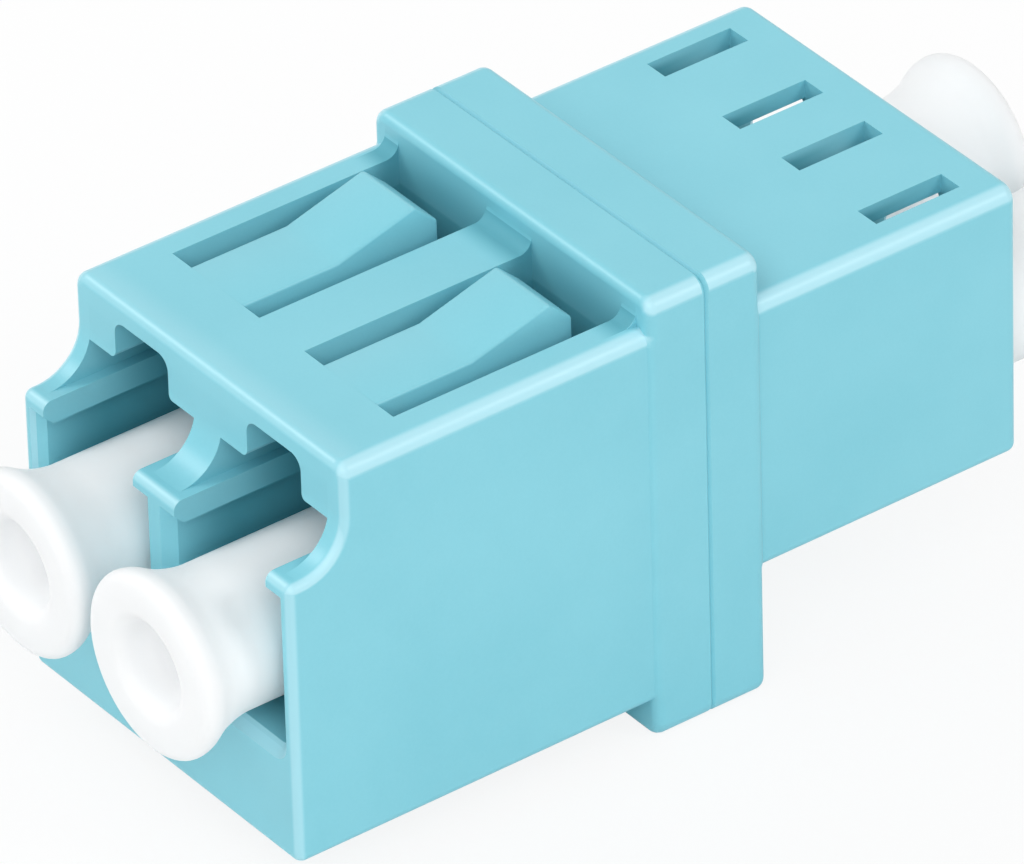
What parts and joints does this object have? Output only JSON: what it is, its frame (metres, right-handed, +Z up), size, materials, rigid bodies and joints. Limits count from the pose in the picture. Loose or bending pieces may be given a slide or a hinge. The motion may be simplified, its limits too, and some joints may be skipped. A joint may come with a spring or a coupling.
{
  "type": "fibre optic coupler",
  "caption": "Duplex fibre optic coupler in aqua plastic with sprung panel clips, a mounting collar, latch windows and pull-out white dust caps.",
  "frame": {"origin": "midway between the two fibre axes, on the collar's front face, where the panel sits", "axes": "+Y along the fibre axes from the front (clip) end to the rear, +X across the two ports, to the right seen from the front, +Z up"},
  "size_m": [0.013, 0.0344, 0.0149],
  "materials": {
    "aqua_plastic": "satin moulded, aqua",
    "cap_plastic": "soft white, slightly translucent",
    "sleeve_ceramic": "ground white ceramic"
  },
  "bodies": {
    "housing": {"front_housing": "aqua_plastic", "rear_housing": "aqua_plastic", "left_alignment_sleeve": "sleeve_ceramic", "right_alignment_sleeve": "sleeve_ceramic"},
    "left_clip": {"left_clip_finger": "aqua_plastic"},
    "right_clip": {"right_clip_finger": "aqua_plastic"},
    "front_left_cap": {"front_left_dust_cap": "cap_plastic"},
    "front_right_cap": {"front_right_dust_cap": "cap_plastic"},
    "rear_left_cap": {"rear_left_dust_cap": "cap_plastic"},
    "rear_right_cap": {"rear_right_dust_cap": "cap_plastic"}
  },
  "joints": [
    {"name": "left_clip_flex", "type": "hinge", "parent": "housing", "child": "left_clip", "pos_m": [-0.00313, -0.00793, 0.00575], "axis": [-1, 0, 0], "range_deg": [0, 7], "stiffness_Nm_per_rad": 0.079},
    {"name": "right_clip_flex", "type": "hinge", "parent": "housing", "child": "right_clip", "pos_m": [0.00313, -0.00793, 0.00575], "axis": [-1, 0, 0], "range_deg": [0, 7], "stiffness_Nm_per_rad": 0.079},
    {"name": "front_left_cap_pull", "type": "slide", "parent": "housing", "child": "front_left_cap", "axis": [0, -1, 0], "range_m": [0, 0.015]},
    {"name": "front_right_cap_pull", "type": "slide", "parent": "housing", "child": "front_right_cap", "axis": [0, -1, 0], "range_m": [0, 0.015]},
    {"name": "rear_left_cap_pull", "type": "slide", "parent": "housing", "child": "rear_left_cap", "axis": [0, 1, 0], "range_m": [0, 0.012]},
    {"name": "rear_right_cap_pull", "type": "slide", "parent": "housing", "child": "rear_right_cap", "axis": [0, 1, 0], "range_m": [0, 0.012]}
  ]
}
